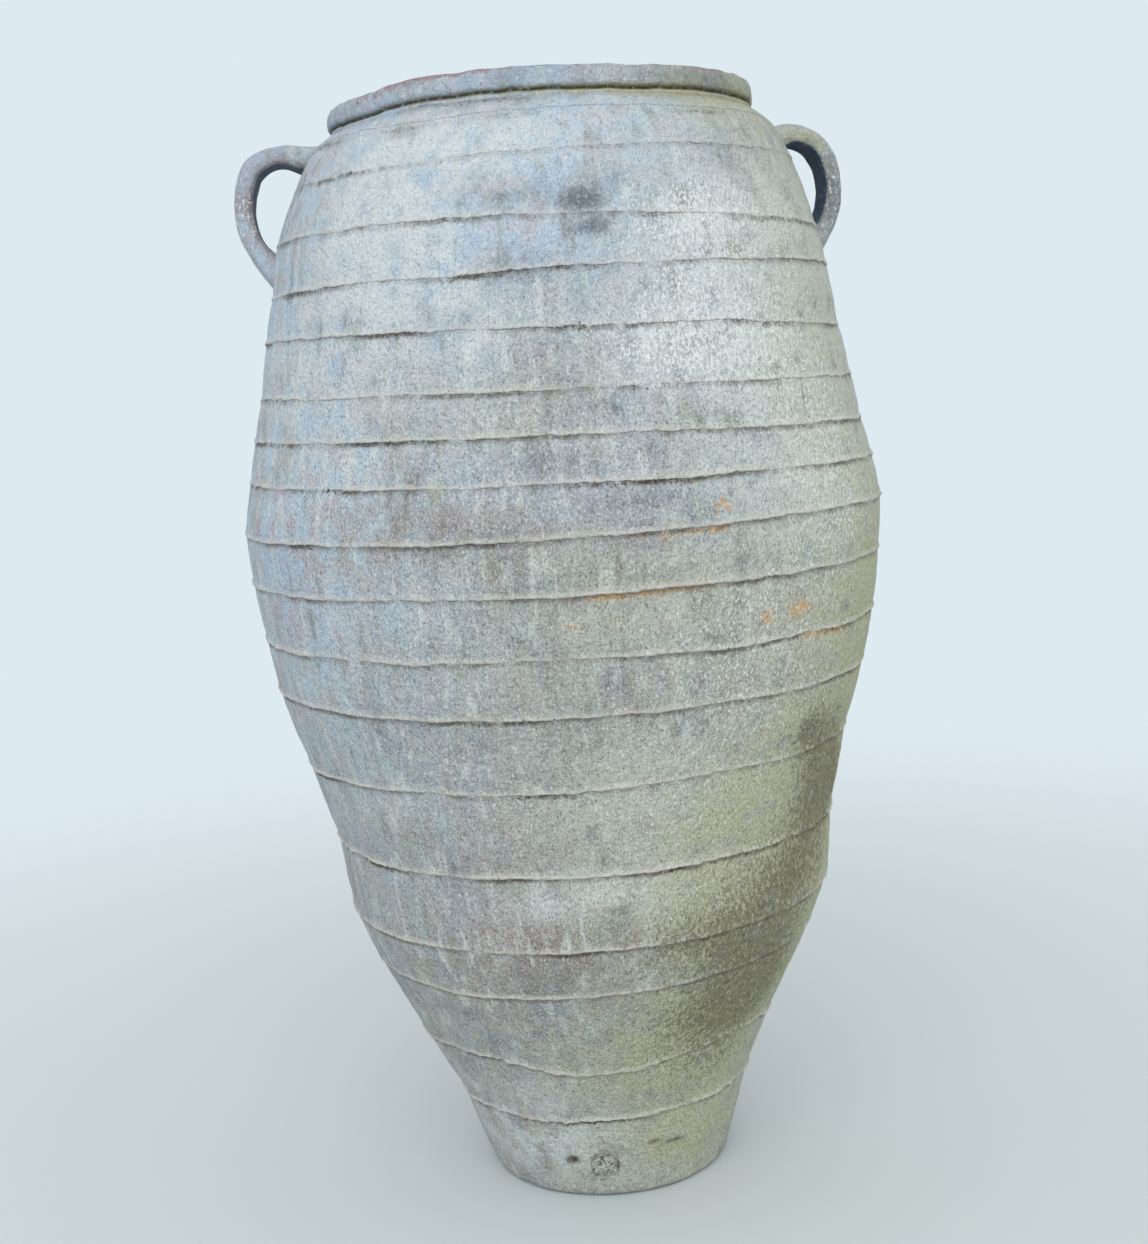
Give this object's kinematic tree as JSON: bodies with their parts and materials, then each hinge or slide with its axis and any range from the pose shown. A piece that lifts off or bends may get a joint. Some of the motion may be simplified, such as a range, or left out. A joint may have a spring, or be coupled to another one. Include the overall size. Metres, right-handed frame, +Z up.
{
  "type": "pithos",
  "caption": "Tall coil-built terracotta storage jar with a narrow flat foot, raised joint bands, a rounded rim and strap handles on the shoulder.",
  "frame": {"origin": "centre of the foot's underside, on the surface that the jar stands on", "axes": "+Z up the jar's axis, X through the two handles, front (drain plug) towards -Y"},
  "size_m": [0.6527, 0.6528, 1.1],
  "materials": {
    "jar_clay": "rough weathered terracotta",
    "joint_clay": "rough weathered terracotta",
    "rim_clay": "rough weathered terracotta",
    "handle_clay": "rough weathered terracotta",
    "plug_mortar": "rough lime mortar"
  },
  "bodies": {
    "root": {"base_disc": "jar_clay", "foot_course": "jar_clay", "lower_course_1": "jar_clay", "lower_course_2": "jar_clay", "lower_course_3": "jar_clay", "lower_course_4": "jar_clay", "lower_course_5": "jar_clay", "lower_course_6": "jar_clay", "belly_course_1": "jar_clay", "belly_course_2": "jar_clay", "belly_course_3": "jar_clay", "belly_course_4": "jar_clay", "belly_course_5": "jar_clay", "upper_course_1": "jar_clay", "upper_course_2": "jar_clay", "upper_course_3": "jar_clay", "upper_course_4": "jar_clay", "upper_course_5": "jar_clay", "shoulder_course": "jar_clay", "neck_course": "jar_clay", "joint_band_1": "joint_clay", "joint_band_2": "joint_clay", "joint_band_3": "joint_clay", "joint_band_4": "joint_clay", "joint_band_5": "joint_clay", "joint_band_6": "joint_clay", "joint_band_7": "joint_clay", "joint_band_8": "joint_clay", "joint_band_9": "joint_clay", "joint_band_10": "joint_clay", "joint_band_11": "joint_clay", "joint_band_12": "joint_clay", "joint_band_13": "joint_clay", "joint_band_14": "joint_clay", "joint_band_15": "joint_clay", "joint_band_16": "joint_clay", "joint_band_17": "joint_clay", "rim": "rim_clay", "handle_left": "handle_clay", "handle_right": "handle_clay", "drain_plug": "plug_mortar"}
  },
  "joints": []
}
